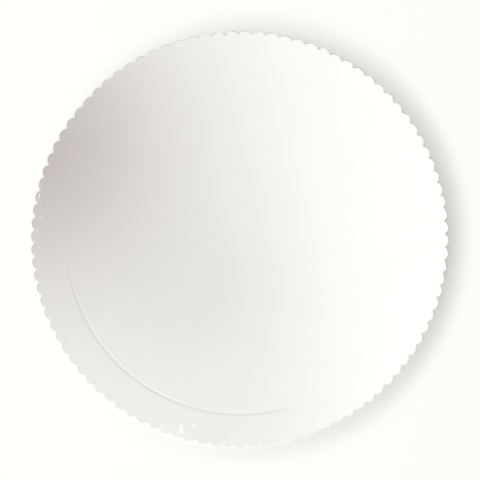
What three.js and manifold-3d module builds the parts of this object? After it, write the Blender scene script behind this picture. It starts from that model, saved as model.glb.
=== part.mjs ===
// Round scalloped cake board.
//
// One piece of solid board, die-cut to a ring of shallow scallops, with a ring
// pressed into its top face as a guide for placing the cake. The cutting die
// rolls the top of the cut edge over and leaves a small break along its foot.
//
// Millimetres, +Z up. The board lies flat on z = 0, centred on the Z axis, and
// one scallop's crest points along +X.

import * as THREE from 'three';
import { mergeVertices } from 'three/addons/utils/BufferGeometryUtils.js';
import Module from 'manifold-3d';

const BOARD_DIAMETER = 300; // across opposite scallop crests
const BOARD_THICKNESS = 3;

const SCALLOP_PITCH = 9.6; // from crest to crest, along the circle of the crests
const SCALLOP_DEPTH = 2.7; // from the circle of the crests in to the cusps
const SCALLOP_FACETS = 6; // straight steps that one scallop's arc is drawn with

const EDGE_ROLL_WIDTH = 0.4; // how far in from the cut edge the top face rolls down
const EDGE_ROLL_HEIGHT = 0.3; // how far the roll drops
const EDGE_ROLL_STEPS = 2;
const FOOT_BREAK = 0.2; // the broken corner along the underside

const RIM_WIDTH = 25.6; // from the crests in to the middle of the pressed ring
const RING_WIDTH = 3; // from shoulder to shoulder
const RING_DEPTH = 0.1;
const RING_STEPS = 6; // steps across the pressed section
const RING_FACETS = 196; // steps round the pressed ring

const CUTTER_OVERHANG = 1; // how far a cutting tool stands above the face that it cuts

const boardRadius = BOARD_DIAMETER / 2;
const scallopCount = Math.round((Math.PI * BOARD_DIAMETER) / SCALLOP_PITCH);
const ringRadius = boardRadius - RIM_WIDTH;

// The board's outline, moved in along the radius. Every scallop keeps its depth
// and is an arc through its crest and through the cusp on each side of it.
function scallopOutline(inset) {
  const halfPitchAngle = Math.PI / scallopCount;
  const crestRadius = boardRadius - inset;
  const cuspRadius = crestRadius - SCALLOP_DEPTH;
  const halfChord = cuspRadius * Math.sin(halfPitchAngle);
  const rise = crestRadius - cuspRadius * Math.cos(halfPitchAngle);
  const arcRadius = (halfChord ** 2 + rise ** 2) / (2 * rise);
  const centreRadius = crestRadius - arcRadius;
  const halfArc = Math.atan2(halfChord, arcRadius - rise);
  const outline = [];
  for (let scallop = 0; scallop < scallopCount; scallop += 1) {
    const heading = 2 * halfPitchAngle * scallop;
    const centre = new THREE.Vector2(centreRadius, 0).rotateAround(new THREE.Vector2(), heading);
    for (let step = 0; step < SCALLOP_FACETS; step += 1) {
      const angle = heading + halfArc * ((2 * step) / SCALLOP_FACETS - 1);
      outline.push(new THREE.Vector2(arcRadius, 0).rotateAround(new THREE.Vector2(), angle).add(centre));
    }
  }
  return outline;
}

// The cut edge from the underside up, as heights and the inset at each.
function edgeProfile() {
  const profile = [
    { z: 0, inset: FOOT_BREAK },
    { z: FOOT_BREAK, inset: 0 },
  ];
  for (let step = 0; step <= EDGE_ROLL_STEPS; step += 1) {
    const turn = ((Math.PI / 2) * step) / EDGE_ROLL_STEPS;
    profile.push({
      z: BOARD_THICKNESS - EDGE_ROLL_HEIGHT * (1 - Math.sin(turn)),
      inset: EDGE_ROLL_WIDTH * (1 - Math.cos(turn)),
    });
  }
  return profile;
}

// A closed body through one outline for each level, with a flat cap at each end.
function loftLevels(levels) {
  const positions = [];
  const indices = [];
  const outlines = levels.map(({ inset }) => scallopOutline(inset));
  const count = outlines[0].length;
  outlines.forEach((outline, level) => {
    outline.forEach((point) => positions.push(point.x, point.y, levels[level].z));
  });
  for (let level = 0; level < levels.length - 1; level += 1) {
    for (let i = 0; i < count; i += 1) {
      const low = level * count + i;
      const lowNext = level * count + ((i + 1) % count);
      indices.push(low, lowNext, lowNext + count);
      indices.push(low, lowNext + count, low + count);
    }
  }
  const top = (levels.length - 1) * count;
  THREE.ShapeUtils.triangulateShape(outlines[0], []).forEach(([a, b, c]) => {
    indices.push(c, b, a);
  });
  THREE.ShapeUtils.triangulateShape(outlines.at(-1), []).forEach(([a, b, c]) => {
    indices.push(top + a, top + b, top + c);
  });
  const geometry = new THREE.BufferGeometry();
  geometry.setAttribute('position', new THREE.Float32BufferAttribute(positions, 3));
  geometry.setIndex(indices);
  return geometry;
}

// What the press takes out of the top face: a shallow channel with soft
// shoulders, deepest along its middle, turned about the board's axis.
function ringCutter() {
  const top = BOARD_THICKNESS + CUTTER_OVERHANG;
  const section = [];
  for (let step = 0; step <= RING_STEPS; step += 1) {
    const across = step / RING_STEPS - 0.5;
    const depth = (RING_DEPTH * (1 + Math.cos(2 * Math.PI * across))) / 2;
    section.push(new THREE.Vector2(ringRadius + RING_WIDTH * across, BOARD_THICKNESS - depth));
  }
  section.push(new THREE.Vector2(ringRadius + RING_WIDTH / 2, top));
  section.push(new THREE.Vector2(ringRadius - RING_WIDTH / 2, top));
  section.push(section[0].clone());
  return new THREE.LatheGeometry(section, RING_FACETS).rotateX(Math.PI / 2);
}

const wasm = await Module();
wasm.setup();

function toSolid(geometry) {
  const bare = geometry.clone();
  bare.deleteAttribute('normal');
  bare.deleteAttribute('uv');
  const merged = mergeVertices(bare);
  return new wasm.Manifold(new wasm.Mesh({
    numProp: 3,
    vertProperties: merged.attributes.position.array,
    triVerts: new Uint32Array(merged.index.array),
  }));
}

function toGeometry(solid) {
  const { vertProperties, triVerts } = solid.getMesh();
  const geometry = new THREE.BufferGeometry();
  geometry.setAttribute('position', new THREE.BufferAttribute(vertProperties, 3));
  geometry.setIndex(new THREE.BufferAttribute(triVerts, 1));
  geometry.computeVertexNormals();
  return geometry;
}

function makeCakeBoard() {
  const blank = toSolid(loftLevels(edgeProfile()));
  const pressed = blank.subtract(toSolid(ringCutter()));
  const whiteBoard = new THREE.MeshStandardMaterial({
    color: new THREE.Color(0.86, 0.86, 0.85),
    roughness: 0.35,
    metalness: 0,
  });
  const mesh = new THREE.Mesh(toGeometry(pressed), whiteBoard);
  mesh.name = 'cake_board';
  return mesh;
}

const model = new THREE.Group();
model.add(makeCakeBoard());

export default model;
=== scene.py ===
import math

import bpy
import numpy as np
from mathutils import Matrix, Vector, noise


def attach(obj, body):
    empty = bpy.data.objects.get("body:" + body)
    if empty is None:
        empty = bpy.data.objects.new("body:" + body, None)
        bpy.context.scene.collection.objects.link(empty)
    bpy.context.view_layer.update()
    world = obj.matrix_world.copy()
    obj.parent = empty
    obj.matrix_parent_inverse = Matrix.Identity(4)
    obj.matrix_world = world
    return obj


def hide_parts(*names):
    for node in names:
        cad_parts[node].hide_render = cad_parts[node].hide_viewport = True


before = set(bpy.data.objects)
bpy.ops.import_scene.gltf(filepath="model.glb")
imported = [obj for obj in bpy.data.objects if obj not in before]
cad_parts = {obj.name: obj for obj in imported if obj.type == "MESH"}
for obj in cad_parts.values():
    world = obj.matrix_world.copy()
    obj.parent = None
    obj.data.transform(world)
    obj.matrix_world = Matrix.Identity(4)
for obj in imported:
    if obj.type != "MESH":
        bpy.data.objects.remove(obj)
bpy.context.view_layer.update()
print("frame loaded, nodes:", len(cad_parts))

# Lengths are in metres, in the row frame: +Z up, the board flat on z = 0, one
# scallop's crest along +X. In the photo's view +X is right and +Y is up.

# The board's shape

board = {
    "diameter": 0.300,  # across opposite scallop crests
    "thickness": 0.003,
    "scallops": 98,
    "scallopDepth": 0.0027,
    "rollWidth": 0.0004,  # the top of the cut edge, rolled over by the die
    "rollHeight": 0.0003,
    "footBreak": 0.0002,
    "rimWidth": 0.0256,  # from the crests in to the middle of the pressed ring
    "ringWidth": 0.0030,
    "ringDepth": 0.00012,
    "deepestHeading": 234.0,  # where the press bit deepest, in degrees from +X
    "deepSpread": 100.0,  # how far round it bit, in degrees
    "deepFade": 1.3,  # it runs out over about four times these degrees
    "shallowShare": 0.16,  # of the depth, on the rest of the ring
    "waveHeight": 0.00004,  # how far the face is from dead flat
    "waveLength": 0.045,
    "wideLength": 2.3,  # a second, wider wave, in multiples of the first
    "wideHeight": 1.5,
    "cutRaggedness": 0.00003,
    "raggedLength": 0.0012,
    "sharpAngle": 35.0,  # degrees, and shading is smooth up to it
    "pointsPerScallop": 12,
    "wallRows": 6,
    "rollSteps": 7,
    "ringSteps": 14,
    "innerRows": 48,
    "ringMargin": 0.0012,  # from the ring in to the first row inside it
    "innerMargin": 0.003,  # from the ring, and from the middle, to the coarse rows
    "rimRows": (0.05, 0.11, 0.18, 0.26, 0.35, 0.45, 0.56, 0.68, 0.82),  # shares of the way in to the ring
    # Shares of the radius, and of the points that a row of the outline has.
    "undersideRows": ((0.45, 0.25), (0.9, 0.25), (0.93, 0.5), (0.96, 1.0)),
}


def scallopOutline(inset):
    # Each scallop is an arc through its crest and the cusps beside it.
    halfPitch = math.pi / board["scallops"]
    crest = board["diameter"] / 2 - inset
    cusp = crest - board["scallopDepth"]
    halfChord = cusp * math.sin(halfPitch)
    rise = crest - cusp * math.cos(halfPitch)
    arcRadius = (halfChord**2 + rise**2) / (2 * rise)
    halfArc = math.atan2(halfChord, arcRadius - rise)
    steps = board["pointsPerScallop"]
    across = halfArc * (2 * np.arange(steps) / steps - 1)
    arc = np.stack([crest - arcRadius + arcRadius * np.cos(across), arcRadius * np.sin(across)], axis=1)
    headings = 2 * halfPitch * np.arange(board["scallops"])
    turns = np.array([[np.cos(headings), np.sin(headings)], [-np.sin(headings), np.cos(headings)]])
    return np.einsum("pi,ijs->spj", arc, turns).reshape(-1, 2)


def circle(radius, count):
    # It starts at the same cusp as the outline does, so that rows line up.
    angles = 2 * math.pi * np.arange(count) / count - math.pi / board["scallops"]
    return radius * np.stack([np.cos(angles), np.sin(angles)], axis=1)


def pressedShare(points):
    # The ring is deep on one side and almost runs out on the other.
    headings = np.degrees(np.arctan2(points[:, 1], points[:, 0]))
    off = np.abs((headings - board["deepestHeading"] + 180) % 360 - 180)
    deep = 1 / (1 + np.exp((off - board["deepSpread"] / 2) / board["deepFade"]))
    return board["shallowShare"] + (1 - board["shallowShare"]) * deep


def wave(x, y):
    near = noise.noise(Vector((x, y, 0)) / board["waveLength"])
    wide = noise.noise(Vector((x, y, 1)) / (board["wideLength"] * board["waveLength"]))
    return board["waveHeight"] * (near + board["wideHeight"] * wide)


def boardRows():
    # Rows of points from the middle of the underside, out and up round the
    # edge, and in again to the middle of the top face. Each row has the
    # number of the material between it and the row before.
    face, cut, liner = 0, 1, 2
    top = board["thickness"]
    full = board["scallops"] * board["pointsPerScallop"]
    ringMiddle = board["diameter"] / 2 - board["rimWidth"]
    rows = []

    def addRow(outline, height, material):
        heights = np.broadcast_to(height, (len(outline),))
        rows.append((np.column_stack([outline, heights]), material))

    addRow(np.zeros((1, 2)), 0, liner)
    for share, points in board["undersideRows"]:
        addRow(circle(share * board["diameter"] / 2, int(points * full)), 0, liner)
    addRow(scallopOutline(board["footBreak"]), 0, liner)

    wallTop = top - board["rollHeight"]
    for height in np.linspace(board["footBreak"], wallTop, board["wallRows"]):
        outline = scallopOutline(0)
        spots = [Vector((x, y, 2 * height)) / board["raggedLength"] for x, y in outline]
        ragged = np.array([0.5 + 0.5 * noise.noise(spot) for spot in spots])
        inset = board["cutRaggedness"] * ragged / np.hypot(*outline.T)
        addRow(outline * (1 - inset[:, None]), height, cut)

    for step in range(1, board["rollSteps"] + 1):
        turn = math.pi / 2 * step / board["rollSteps"]
        outline = scallopOutline(board["rollWidth"] * (1 - math.cos(turn)))
        addRow(outline, wallTop + board["rollHeight"] * math.sin(turn), face)

    shoulder = ringMiddle + board["ringWidth"] / 2
    for share in board["rimRows"]:
        outline = (1 - share) * scallopOutline(board["rollWidth"]) + share * circle(shoulder, full)
        addRow(outline, top, face)

    for step in range(board["ringSteps"] + 1):
        across = 0.5 - step / board["ringSteps"]
        row = circle(ringMiddle + board["ringWidth"] * across, full)
        depth = board["ringDepth"] * pressedShare(row) * (1 + math.cos(2 * math.pi * across)) / 2
        addRow(row, top - depth, face)

    inner = ringMiddle - board["ringWidth"] / 2
    addRow(circle(inner - board["ringMargin"], full // 2), top, face)
    for radius in np.linspace(inner - board["innerMargin"], board["innerMargin"], board["innerRows"]):
        addRow(circle(radius, full // 4), top, face)
    addRow(np.zeros((1, 2)), top, face)
    return rows


def bandFaces(low, lowCount, high, highCount):
    # Faces between two rows whose counts are the same, or one twice the
    # other, or where one is a single point.
    faces = []
    for i in range(min(count for count in (lowCount, highCount) if count > 1)):
        a, b = low + i, low + (i + 1) % lowCount
        c, d = high + i, high + (i + 1) % highCount
        if lowCount == 1:
            faces.append((low, d, c))
        elif highCount == 1:
            faces.append((a, b, high))
        elif lowCount == highCount:
            faces.append((a, b, d, c))
        elif lowCount > highCount:
            a, middle, b = low + 2 * i, low + 2 * i + 1, low + (2 * i + 2) % lowCount
            faces += [(a, middle, c), (middle, d, c), (middle, b, d)]
        else:
            c, middle, d = high + 2 * i, high + 2 * i + 1, high + (2 * i + 2) % highCount
            faces += [(a, middle, c), (a, b, middle), (b, d, middle)]
    return faces


def buildBoard():
    rows = boardRows()
    points = np.concatenate([row for row, material in rows])
    wallTop = board["thickness"] - board["rollHeight"]
    lifted = np.clip((points[:, 2] - wallTop) / board["rollHeight"], 0, 1)
    points[:, 2] += lifted * np.array([wave(x, y) for x, y, z in points])
    faces, materials, start = [], [], 0
    for (low, before), (high, material) in zip(rows, rows[1:]):
        band = bandFaces(start, len(low), start + len(low), len(high))
        faces += band
        materials += [material] * len(band)
        start += len(low)
    mesh = bpy.data.meshes.new("board_body")
    mesh.from_pydata(points.tolist(), [], faces)
    mesh.polygons.foreach_set("material_index", materials)
    mesh.shade_smooth()
    mesh.set_sharp_from_angle(angle=math.radians(board["sharpAngle"]))
    mesh.update()
    piece = bpy.data.objects.new("board_body", mesh)
    bpy.context.scene.collection.objects.link(piece)
    return piece


boardBody = buildBoard()
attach(boardBody, "root")
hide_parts("cake_board")
print("board built:", len(boardBody.data.polygons), "faces")

# Small creases in the film by the rim: where each starts and ends, half its
# width, and its height.
creases = {
    "places": [
        ((-0.1383, 0.0335), (-0.1352, 0.0335), 0.0007, 0.00009),
        ((-0.1418, 0.0264), (-0.1394, 0.0254), 0.0006, 0.00007),
        ((-0.1437, 0.0224), (-0.1395, 0.0221), 0.0004, 0.00030),
        ((-0.1419, 0.0401), (-0.1440, 0.0371), 0.0005, 0.00030),
        ((-0.1442, 0.0367), (-0.1418, 0.0359), 0.0006, 0.00007),
        ((-0.1454, 0.0151), (-0.1462, 0.0129), 0.0005, 0.00009),
        ((-0.1479, 0.0068), (-0.1459, 0.0054), 0.0006, 0.00007),
        ((-0.0613, -0.1312), (-0.0619, -0.1345), 0.0007, 0.00009),
        ((-0.0627, -0.1285), (-0.0627, -0.1333), 0.0006, 0.00007),
        ((-0.0593, -0.1322), (-0.0592, -0.1361), 0.0006, 0.00007),
        ((-0.0513, -0.1336), (-0.0499, -0.1371), 0.0007, 0.00009),
        ((-0.0512, -0.1367), (-0.0505, -0.1394), 0.0006, 0.00007),
        ((-0.0487, -0.1304), (-0.0480, -0.1385), 0.0013, 0.00020),
        ((-0.0395, -0.1306), (-0.0387, -0.1337), 0.0007, 0.00009),
        ((-0.0378, -0.1303), (-0.0373, -0.1326), 0.0006, 0.00007),
        ((-0.0191, -0.1450), (-0.0146, -0.1472), 0.0006, 0.00007),
        ((0.0100, -0.1460), (0.0127, -0.1479), 0.0007, 0.00009),
    ],
    "sunk": 0.00005,  # how far their feet reach into the face
    "bend": 0.12,  # how far each bows sideways, as a share of its length
    "endShare": 0.15,  # of its width, where it runs out
    "sharpAngle": 60.0,
    "steps": 14,
    "stepsAcross": 8,
}


def creasePoints(start, end, halfWidth, height):
    # A ridge that runs out at both ends, and under it the same grid, sunk.
    start, end = np.array(start), np.array(end)
    along = end - start
    length = np.hypot(*along)
    sideways = np.array([-along[1], along[0]]) / length
    endShare = creases["endShare"]
    upper, lower = [], []
    foot = board["thickness"] - creases["sunk"]
    for u in np.linspace(-1, 1, creases["steps"] + 1):
        fade = max(1 - u * u, 0.0)
        bow = creases["bend"] * length * fade
        width = halfWidth * (endShare + (1 - endShare) * math.sqrt(fade))
        for v in np.linspace(-1, 1, creases["stepsAcross"] + 1):
            x, y = (start + end) / 2 + along * u / 2 + sideways * (v * width + bow)
            rise = (height + creases["sunk"]) * fade * (1 + math.cos(math.pi * v)) / 2
            upper.append((x, y, foot + wave(x, y) + rise))
            lower.append((x, y, foot + wave(x, y) - creases["sunk"]))
    return upper + lower


def buildCreases():
    points, faces = [], []
    rows, columns = creases["steps"] + 1, creases["stepsAcross"] + 1
    layer = rows * columns
    border = list(range(columns)) + [columns * i + columns - 1 for i in range(1, rows)]
    border += [layer - 1 - i for i in range(1, columns)] + [columns * i for i in range(rows - 2, 0, -1)]
    for place in creases["places"]:
        first = len(points)
        points += creasePoints(*place)
        for row in range(rows - 1):
            for column in range(columns - 1):
                a = first + row * columns + column
                b, c, d = a + 1, a + columns + 1, a + columns
                faces.append((a, d, c, b))
                faces.append((a + layer, b + layer, c + layer, d + layer))
        for i, j in zip(border, border[1:] + border[:1]):
            faces.append((first + i, first + j, first + j + layer, first + i + layer))
    mesh = bpy.data.meshes.new("film_creases")
    mesh.from_pydata(points, [], faces)
    mesh.shade_smooth()
    mesh.set_sharp_from_angle(angle=math.radians(creases["sharpAngle"]))
    mesh.update()
    piece = bpy.data.objects.new("film_creases", mesh)
    bpy.context.scene.collection.objects.link(piece)
    return piece


filmCreases = buildCreases()
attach(filmCreases, "root")
print("creases built:", len(creases["places"]))

# Shader node groups

groupKinds = {"float": "NodeSocketFloat", "colour": "NodeSocketColor", "vector": "NodeSocketVector"}


def newGroup(name, inputs, outputs):
    group = bpy.data.node_groups.new(name, "ShaderNodeTree")
    for label, kind, value in inputs:
        socket = group.interface.new_socket(label, in_out="INPUT", socket_type=groupKinds[kind])
        if value is not None:
            socket.default_value = value
    for label, kind in outputs:
        group.interface.new_socket(label, in_out="OUTPUT", socket_type=groupKinds[kind])
    return group, group.nodes.new("NodeGroupInput"), group.nodes.new("NodeGroupOutput")


def setInputs(tree, node, inputs):
    # An input is a value, or the output socket of another node.
    for name, value in inputs.items():
        if isinstance(value, bpy.types.NodeSocket):
            tree.links.new(value, node.inputs[name])
        else:
            node.inputs[name].default_value = value


def addNode(tree, kind, inputs=None, **settings):
    node = tree.nodes.new(kind)
    for name, value in settings.items():
        setattr(node, name, value)
    setInputs(tree, node, inputs or {})
    return node


def calculate(tree, operation, first, second=0.0, third=0.0):
    inputs = {0: first, 1: second, 2: third}
    return addNode(tree, "ShaderNodeMath", inputs, operation=operation).outputs[0]


def vectorMath(tree, operation, first, second=(0, 0, 0)):
    node = addNode(tree, "ShaderNodeVectorMath", {0: first, 1: second}, operation=operation)
    return node.outputs["Value" if operation in ("LENGTH", "DISTANCE", "DOT_PRODUCT") else "Vector"]


def mixColour(tree, factor, first, second):
    node = addNode(tree, "ShaderNodeMix", {0: factor, 6: first, 7: second}, data_type="RGBA")
    return node.outputs[2]


def addNoise(tree, place, scale, detail, distortion=0.0):
    inputs = {"Vector": place, "Scale": scale, "Detail": detail, "Distortion": distortion}
    return addNode(tree, "ShaderNodeTexNoise", inputs).outputs["Fac"]


def addRamp(tree, value, start, end, style="LINEAR", first=0.0, last=1.0):
    inputs = {"Value": value, "From Min": start, "From Max": end, "To Min": first, "To Max": last}
    return addNode(tree, "ShaderNodeMapRange", inputs, interpolation_type=style).outputs[0]


def flatten(tree, place):
    # The place with its height left out, so that its length is the radius.
    return vectorMath(tree, "MULTIPLY", place, (1, 1, 0))


paper = {
    "fibreTurns": (0.3, 1.35, 2.5),  # the ways that three layers of fibres lie, in radians
    "fibreDetail": 3.0,
    "fibreCurl": 0.4,
    "mattedFrom": 0.45,
    "mattedTo": 0.75,
}

wearing = {
    "patchScale": 160.0,
    "patchDetail": 4.0,
    "patchFrom": 0.45,
    "patchTo": 0.7,
}


def makePaperFibre():
    # Matted paper fibres. Height and Mask go from 0 to 1.
    inputs = [("Vector", "vector", None), ("Fibre Length", "float", 0.004), ("Fineness", "float", 6.0)]
    group, given, result = newGroup("paperFibre", inputs, [("Mask", "float"), ("Height", "float")])
    frequency = calculate(group, "DIVIDE", 1.0, given.outputs["Fibre Length"])
    layers = []
    for turn in paper["fibreTurns"]:
        turning = {"Vector": given.outputs["Vector"], "Rotation": (0, 0, turn)}
        turned = addNode(group, "ShaderNodeMapping", turning).outputs[0]
        parts = addNode(group, "ShaderNodeSeparateXYZ", {0: turned}).outputs
        thin = calculate(group, "MULTIPLY", parts["Y"], given.outputs["Fineness"])
        drawn = addNode(group, "ShaderNodeCombineXYZ", {0: parts["X"], 1: thin, 2: parts["Z"]}).outputs[0]
        layers.append(addNoise(group, drawn, frequency, paper["fibreDetail"], paper["fibreCurl"]))
    matted = calculate(group, "MAXIMUM", calculate(group, "MAXIMUM", layers[0], layers[1]), layers[2])
    mask = addRamp(group, matted, paper["mattedFrom"], paper["mattedTo"], "SMOOTHSTEP")
    group.links.new(mask, result.inputs["Mask"])
    group.links.new(matted, result.inputs["Height"])
    return group


def makeEdgeWear():
    # Where handling has rubbed the board, in patches along its rim.
    inputs = [("Vector", "vector", None), ("Inner Radius", "float", 0.146), ("Outer Radius", "float", 0.1505)]
    group, given, result = newGroup("edgeWear", inputs, [("Mask", "float")])
    place = given.outputs["Vector"]
    reach = vectorMath(group, "LENGTH", flatten(group, place))
    near = addRamp(group, reach, given.outputs["Inner Radius"], given.outputs["Outer Radius"])
    patches = addNoise(group, place, wearing["patchScale"], wearing["patchDetail"])
    worn = addRamp(group, patches, wearing["patchFrom"], wearing["patchTo"], "SMOOTHSTEP")
    group.links.new(calculate(group, "MULTIPLY", near, worn), result.inputs["Mask"])
    return group


paperFibre = makePaperFibre()
edgeWear = makeEdgeWear()
print("node groups built")

# Materials

film = {
    "colour": (0.86, 0.858, 0.84, 1),
    "cloudColour": (0.83, 0.826, 0.81, 1),
    "wornColour": (0.74, 0.725, 0.70, 1),
    "cloudScale": 28.0,
    "cloudDetail": 4.0,
    "cloudShare": 0.6,
    "wornShare": 0.35,
    "wornRoughness": 0.15,  # this and the press line's one are added to the film's own
    "edgeShadeColour": (0.60, 0.588, 0.565, 1),  # painted shade on the edge the die rolled over, darker as it turns away from up
    "edgeShadeFrom": 0.97,  # the Z of the surface's normal where that begins, and where it is full
    "edgeShadeTo": 0.6,
    "ringShadeColour": (0.755, 0.752, 0.735, 1),  # painted shade along the ring's outer flank, where the pressed groove falls dark
    "pressLineOffset": 0.0008,  # out from the middle of the ring
    "pressLineWidth": 0.0006,
    "pressLineEase": 3.0,  # degrees over which each end runs out, either way
    "pressLineRoughness": 0.1,
    "roughness": 0.20,
    "roughnessSpread": 0.05,
    "specular": 0.5,
    "peelSize": 0.0016,  # the fine unevenness of the laminate
    "peelDetail": 2.0,
    "peelHeight": 0.0000012,
    "fibreLength": 0.003,
    "fibreHeight": 0.000001,
}

creasedFilm = {
    # The colour is lighter than the film: a painted highlight where the creases catch the light.
    "colour": (0.97, 0.97, 0.965, 1),
    "torn": (0.88, 0.875, 0.86, 1),
    "roughness": 0.30,
    "specular": 0.8,
    "fibreLength": 0.0008,
}

cutEdge = {
    "colour": (0.72, 0.705, 0.67, 1),
    "darkPly": (0.58, 0.56, 0.52, 1),
    "darkShare": 0.7,
    "plyThickness": 0.0004,
    "plyHeight": 0.00004,
    "plyWaver": 5.0,  # radians
    "waverScale": 300.0,
    "waverDetail": 3.0,
    "fibreLength": 0.0012,
    "fineness": 3.0,
    "roughness": 0.88,
    "specular": 0.2,
}

liner = {
    "colour": (0.82, 0.815, 0.80, 1),
    "fibreColour": (0.77, 0.755, 0.72, 1),
    "wornColour": (0.70, 0.68, 0.64, 1),
    "fibreShare": 0.55,
    "wornShare": 0.5,
    "wornFrom": 0.143,  # the radius where the rim's wear starts
    "fibreLength": 0.005,
    "fineness": 7.0,
    "fibreHeight": 0.000012,
    "roughness": 0.72,
    "specular": 0.3,
}


def newMaterial(name):
    material = bpy.data.materials.new(name)
    material.use_nodes = True
    tree = material.node_tree
    return material, tree, tree.nodes["Principled BSDF"]


def ownPlace(tree):
    return addNode(tree, "ShaderNodeTexCoord").outputs["Object"]


def useGroup(tree, group, inputs):
    return addNode(tree, "ShaderNodeGroup", inputs, node_tree=group)


def addBump(tree, height):
    return addNode(tree, "ShaderNodeBump", {"Height": height, "Distance": 1.0}).outputs["Normal"]


def shadedDullLine(tree, place):
    # The line just outside the middle of the ring, along its deep part: it carries painted shade where the
    # groove's outer flank falls dark, and is made rougher there.
    ringMiddle = board["diameter"] / 2 - board["rimWidth"]
    heading, half = math.radians(board["deepestHeading"]), board["deepSpread"] / 2
    flat = flatten(tree, place)
    reach = vectorMath(tree, "LENGTH", flat)
    along = vectorMath(tree, "DOT_PRODUCT", flat, (math.cos(heading), math.sin(heading), 0))
    start, end = (math.cos(math.radians(half + film["pressLineEase"] * side)) for side in (1, -1))
    deep = addRamp(tree, calculate(tree, "DIVIDE", along, reach), start, end, "SMOOTHSTEP")
    off = calculate(tree, "SUBTRACT", reach, ringMiddle + film["pressLineOffset"])
    off = calculate(tree, "DIVIDE", off, film["pressLineWidth"])
    spread = calculate(tree, "MULTIPLY", calculate(tree, "MULTIPLY", off, off), -1.0)
    return calculate(tree, "MULTIPLY", deep, calculate(tree, "EXPONENT", spread))


def makeFilm():
    material, tree, principled = newMaterial("laminatedFace")
    place = ownPlace(tree)
    clouds = addNoise(tree, place, film["cloudScale"], film["cloudDetail"])
    fibres = useGroup(tree, paperFibre, {"Vector": place, "Fibre Length": film["fibreLength"]})
    wear = useGroup(tree, edgeWear, {"Vector": place}).outputs["Mask"]
    shadeAndDull = shadedDullLine(tree, place)
    facing = addNode(tree, "ShaderNodeNewGeometry").outputs["Normal"]
    upward = addNode(tree, "ShaderNodeSeparateXYZ", {0: facing}).outputs["Z"]
    # How far the surface turns away from up, for the painted shade on the rolled edge.
    edgeShade = addRamp(tree, upward, film["edgeShadeFrom"], film["edgeShadeTo"])

    cloudy = calculate(tree, "MULTIPLY", clouds, film["cloudShare"])
    colour = mixColour(tree, cloudy, film["colour"], film["cloudColour"])
    worn = calculate(tree, "MULTIPLY", wear, film["wornShare"])
    colour = mixColour(tree, worn, colour, film["wornColour"])
    # Painted shade along the ring's outer flank.
    colour = mixColour(tree, shadeAndDull, colour, film["ringShadeColour"])
    # Painted shade on the rolled edge, deeper where the surface turns away from up.
    colour = mixColour(tree, edgeShade, colour, film["edgeShadeColour"])

    peel = addNoise(tree, place, 1 / film["peelSize"], film["peelDetail"])
    height = calculate(tree, "MULTIPLY", peel, film["peelHeight"])
    height = calculate(tree, "MULTIPLY_ADD", fibres.outputs["Height"], film["fibreHeight"], height)

    roughness = calculate(tree, "MULTIPLY_ADD", clouds, film["roughnessSpread"], film["roughness"])
    roughness = calculate(tree, "MULTIPLY_ADD", wear, film["wornRoughness"], roughness)
    roughness = calculate(tree, "MULTIPLY_ADD", shadeAndDull, film["pressLineRoughness"], roughness)
    setInputs(
        tree,
        principled,
        {
            "Base Color": colour,
            "Roughness": roughness,
            "Specular IOR Level": film["specular"],
            "Normal": addBump(tree, height),
        },
    )
    return material


def makeCutEdge():
    material, tree, principled = newMaterial("cutBoard")
    place = ownPlace(tree)
    settings = {"Fibre Length": cutEdge["fibreLength"], "Fineness": cutEdge["fineness"]}
    fibres = useGroup(tree, paperFibre, {"Vector": place, **settings})
    upward = addNode(tree, "ShaderNodeSeparateXYZ", {0: place}).outputs["Z"]
    waver = addNoise(tree, place, cutEdge["waverScale"], cutEdge["waverDetail"])
    waver = calculate(tree, "MULTIPLY", waver, cutEdge["plyWaver"])
    ply = calculate(tree, "DIVIDE", upward, cutEdge["plyThickness"])
    turn = calculate(tree, "MULTIPLY_ADD", ply, 2 * math.pi, waver)
    plies = calculate(tree, "MULTIPLY_ADD", calculate(tree, "SINE", turn), 0.5, 0.5)
    rough = calculate(tree, "MULTIPLY", plies, fibres.outputs["Mask"])
    dark = calculate(tree, "MULTIPLY", rough, cutEdge["darkShare"])
    height = calculate(tree, "MULTIPLY", rough, -cutEdge["plyHeight"])
    setInputs(
        tree,
        principled,
        {
            "Base Color": mixColour(tree, dark, cutEdge["colour"], cutEdge["darkPly"]),
            "Roughness": cutEdge["roughness"],
            "Specular IOR Level": cutEdge["specular"],
            "Normal": addBump(tree, height),
        },
    )
    return material


def makeLiner():
    material, tree, principled = newMaterial("uncoatedLiner")
    place = ownPlace(tree)
    settings = {"Fibre Length": liner["fibreLength"], "Fineness": liner["fineness"]}
    fibres = useGroup(tree, paperFibre, {"Vector": place, **settings})
    wear = useGroup(tree, edgeWear, {"Vector": place, "Inner Radius": liner["wornFrom"]})
    matted = calculate(tree, "MULTIPLY", fibres.outputs["Mask"], liner["fibreShare"])
    colour = mixColour(tree, matted, liner["colour"], liner["fibreColour"])
    worn = calculate(tree, "MULTIPLY", wear.outputs["Mask"], liner["wornShare"])
    height = calculate(tree, "MULTIPLY", fibres.outputs["Height"], liner["fibreHeight"])
    setInputs(
        tree,
        principled,
        {
            "Base Color": mixColour(tree, worn, colour, liner["wornColour"]),
            "Roughness": liner["roughness"],
            "Specular IOR Level": liner["specular"],
            "Normal": addBump(tree, height),
        },
    )
    return material


def makeCreasedFilm():
    material, tree, principled = newMaterial("creasedFilm")
    place = ownPlace(tree)
    fibres = useGroup(tree, paperFibre, {"Vector": place, "Fibre Length": creasedFilm["fibreLength"]})
    # The lighter colour is a painted highlight on the creases.
    colour = mixColour(tree, fibres.outputs["Mask"], creasedFilm["colour"], creasedFilm["torn"])
    setInputs(
        tree,
        principled,
        {
            "Base Color": colour,
            "Roughness": creasedFilm["roughness"],
            "Specular IOR Level": creasedFilm["specular"],
        },
    )
    return material


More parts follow.
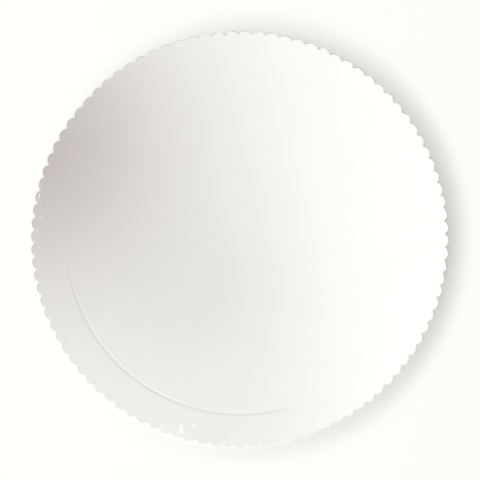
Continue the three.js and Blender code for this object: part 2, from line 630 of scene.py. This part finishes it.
for material in (makeFilm(), makeCutEdge(), makeLiner()):  # as numbered in boardRows
    boardBody.data.materials.append(material)
filmCreases.data.materials.append(makeCreasedFilm())
print("materials built")

# The surface that the board lies on

floor = {
    "size": 6.0,
    "gap": 0.00005,  # below the board's underside
    "colour": (0.93, 0.93, 0.91, 1),
    "glow": 0.19,  # added for the camera only, so that the floor is seen as plain white
    "glowColour": (1.0, 1.0, 0.94, 1),
}


def makePlane(name, size, centre):
    half = size / 2
    mesh = bpy.data.meshes.new(name)
    corners = [(-half, -half, 0), (half, -half, 0), (half, half, 0), (-half, half, 0)]
    mesh.from_pydata(corners, [], [(0, 1, 2, 3)])
    plane = bpy.data.objects.new(name, mesh)
    plane.location = centre
    bpy.context.scene.collection.objects.link(plane)
    return plane


def makeFloor():
    plane = makePlane("floor", floor["size"], (0, 0, -floor["gap"]))
    material, tree, principled = newMaterial("whiteFloor")
    seen = addNode(tree, "ShaderNodeLightPath").outputs["Is Camera Ray"]
    setInputs(
        tree,
        principled,
        {
            "Base Color": floor["colour"],
            "Roughness": 1.0,
            "Specular IOR Level": 0.0,
            "Emission Color": floor["glowColour"],
            "Emission Strength": calculate(tree, "MULTIPLY", seen, floor["glow"]),
        },
    )
    plane.data.materials.append(material)
    return plane


floorPlane = makeFloor()

# Lights

# Headings are in degrees from +X, anticlockwise as seen from above. The world
# lights everything evenly. The window lights reach only the floor, where they
# give the board its soft shadow. The grazing light reaches only the board, and
# shows the pressed ring and the creases.
lights = {
    "lowWindow": {
        "headings": (120.0, 175.0, 230.0),
        "powers": (300.0, 520.0, 390.0),
        "elevation": 10.5,
        "distance": 8.0,
        "width": 8.0,
        "height": 0.9,
        "reaches": "floor",
    },
    "highWindow": {
        "headings": (120.0, 175.0, 230.0),
        "powers": (45.0, 75.0, 60.0),
        "elevation": 19.0,
        "distance": 8.0,
        "width": 8.0,
        "height": 1.4,
        "reaches": "floor",
    },
    "grazingLight": {
        "headings": (260.0,),
        "powers": (150.0,),
        "elevation": 3.0,
        "distance": 4.0,
        "width": 1.5,
        "height": 0.4,
        "reaches": "board",
    },
}

# A card that only reflections show. It stands for the room: bright all over
# and brightest to the right, with a dim, warm place to the upper left. It
# fades at its far right, which only low views see in the board.
glareCard = {
    "height": 1.0,
    "size": 2.4,
    "centre": (0.40, -0.09),
    "strength": 12.5,  # straight above the board
    "rightward": -1.1,  # how much that changes for each metre to the right
    "upward": 2.9,  # and for each metre up the photo
    "curve": 38.0,  # and for each metre to the right, squared
    "brightest": 14.6,
    "fadeFrom": 1.0,  # how far to the right it starts to fade
    "fadeTo": 1.3,
    "faded": 0.08,  # the share of its strength that is left past there
    "dimPlace": (-0.475, 0.175),
    "dimRadius": 0.375,
    "dimGlow": (1.3, 0.0, 0.0, 1),
    "greyPlace": (-0.04, -0.20),  # a second place, a little less bright
    "greyRadius": 0.18,
    "greyDrop": 3.3,
}

world = {"colour": (1.0, 1.0, 0.98, 1), "ambient": 0.484, "background": 1.0}


def makeLight(name, settings, heading, power):
    light = bpy.data.lights.new(name, "AREA")
    light.shape = "RECTANGLE"
    light.size = settings["width"]
    light.size_y = settings["height"]
    light.energy = power
    item = bpy.data.objects.new(name, light)
    heading, elevation = math.radians(heading), math.radians(settings["elevation"])
    level = math.cos(elevation)
    away = Vector((level * math.cos(heading), level * math.sin(heading), math.sin(elevation)))
    item.location = settings["distance"] * away
    item.rotation_euler = away.to_track_quat("Z", "Y").to_euler()
    item.visible_glossy = False  # the glare card is what the board reflects
    bpy.context.scene.collection.objects.link(item)
    lit = bpy.data.collections.new(name + "Reach")
    targets = {"board": (boardBody, filmCreases), "floor": (floorPlane,)}
    for target in targets[settings["reaches"]]:
        lit.objects.link(target)
    item.light_linking.receiver_collection = lit


def spot(tree, place, middle, radius):
    # 1 at its middle, and fading out with distance.
    middle = (*middle, glareCard["height"])
    reach = vectorMath(tree, "DISTANCE", place, middle)
    spread = calculate(tree, "POWER", calculate(tree, "DIVIDE", reach, radius), 2.0)
    return calculate(tree, "EXPONENT", calculate(tree, "MULTIPLY", spread, -1.0))


def makeGlareCard():
    card = makePlane("glareCard", glareCard["size"], (*glareCard["centre"], glareCard["height"]))
    card.visible_camera = False
    card.visible_diffuse = False
    card.visible_shadow = False
    material = bpy.data.materials.new("glareCard")
    material.use_nodes = True
    # Reflected rays find the card by themselves. Sampled as a lamp as well,
    # it leaves blotches on the board.
    material.cycles.emission_sampling = "NONE"
    tree = material.node_tree
    tree.nodes.clear()
    place = addNode(tree, "ShaderNodeNewGeometry").outputs["Position"]
    parts = addNode(tree, "ShaderNodeSeparateXYZ", {0: place}).outputs
    x, y = parts["X"], parts["Y"]
    strength = calculate(tree, "MULTIPLY_ADD", x, glareCard["rightward"], glareCard["strength"])
    strength = calculate(tree, "MULTIPLY_ADD", y, glareCard["upward"], strength)
    toRight = calculate(tree, "MAXIMUM", x, 0.0)
    squared = calculate(tree, "MULTIPLY", toRight, toRight)
    strength = calculate(tree, "MULTIPLY_ADD", squared, glareCard["curve"], strength)
    grey = spot(tree, place, glareCard["greyPlace"], glareCard["greyRadius"])
    strength = calculate(tree, "MULTIPLY_ADD", grey, -glareCard["greyDrop"], strength)
    strength = calculate(tree, "MINIMUM", strength, glareCard["brightest"])
    fade = addRamp(tree, x, glareCard["fadeFrom"], glareCard["fadeTo"], first=1.0, last=glareCard["faded"])
    strength = calculate(tree, "MULTIPLY", strength, fade)
    bright = addNode(tree, "ShaderNodeCombineXYZ", {0: strength, 1: strength, 2: strength}).outputs[0]
    dim = spot(tree, place, glareCard["dimPlace"], glareCard["dimRadius"])
    colour = mixColour(tree, dim, bright, glareCard["dimGlow"])
    emission = addNode(tree, "ShaderNodeEmission", {"Color": colour})
    output = addNode(tree, "ShaderNodeOutputMaterial")
    tree.links.new(emission.outputs[0], output.inputs["Surface"])
    card.data.materials.append(material)


def makeWorld():
    sky = bpy.data.worlds.new("studio")
    sky.use_nodes = True
    tree = sky.node_tree
    path = addNode(tree, "ShaderNodeLightPath").outputs
    seen = calculate(tree, "MAXIMUM", path["Is Camera Ray"], path["Is Glossy Ray"])
    extra = world["background"] - world["ambient"]
    strength = calculate(tree, "MULTIPLY_ADD", seen, extra, world["ambient"])
    background = tree.nodes["Background"]
    background.inputs["Color"].default_value = world["colour"]
    tree.links.new(strength, background.inputs["Strength"])
    bpy.context.scene.world = sky


for name, settings in lights.items():
    for heading, power in zip(settings["headings"], settings["powers"]):
        makeLight(name, settings, heading, power)
makeGlareCard()
makeWorld()
print("stage and lights built")

# Camera, as fitted to the scallops in the photo

camera = {
    "distance": 0.4387,  # from the middle of the top face
    "tilt": 5.42,  # degrees off the board's axis
    "tiltHeading": 114.28,
    "upHeading": 88.877,
    "lens": 45.86,
    "sensorWidth": 36.0,
    "shift": (-2.67, 5.20),  # in pixels of the photo
    "photoWidth": 480,
    "nearest": 0.01,
}


def makeCamera():
    data = bpy.data.cameras.new("camera")
    data.lens = camera["lens"]
    data.sensor_width = camera["sensorWidth"]
    data.shift_x, data.shift_y = (pixels / camera["photoWidth"] for pixels in camera["shift"])
    data.clip_start = camera["nearest"]
    item = bpy.data.objects.new("camera", data)
    tilt, heading, up = (math.radians(camera[name]) for name in ("tilt", "tiltHeading", "upHeading"))
    back = Vector((math.sin(tilt) * math.cos(heading), math.sin(tilt) * math.sin(heading), math.cos(tilt)))
    right = Vector((math.cos(up), math.sin(up), 0)).cross(back).normalized()
    turned = Matrix((right, back.cross(right), back)).transposed().to_4x4()
    middle = Vector((0, 0, board["thickness"]))
    item.matrix_world = Matrix.Translation(middle + camera["distance"] * back) @ turned
    bpy.context.scene.collection.objects.link(item)
    bpy.context.scene.camera = item


makeCamera()
bpy.context.scene.view_settings.view_transform = "Standard"
print("camera placed")
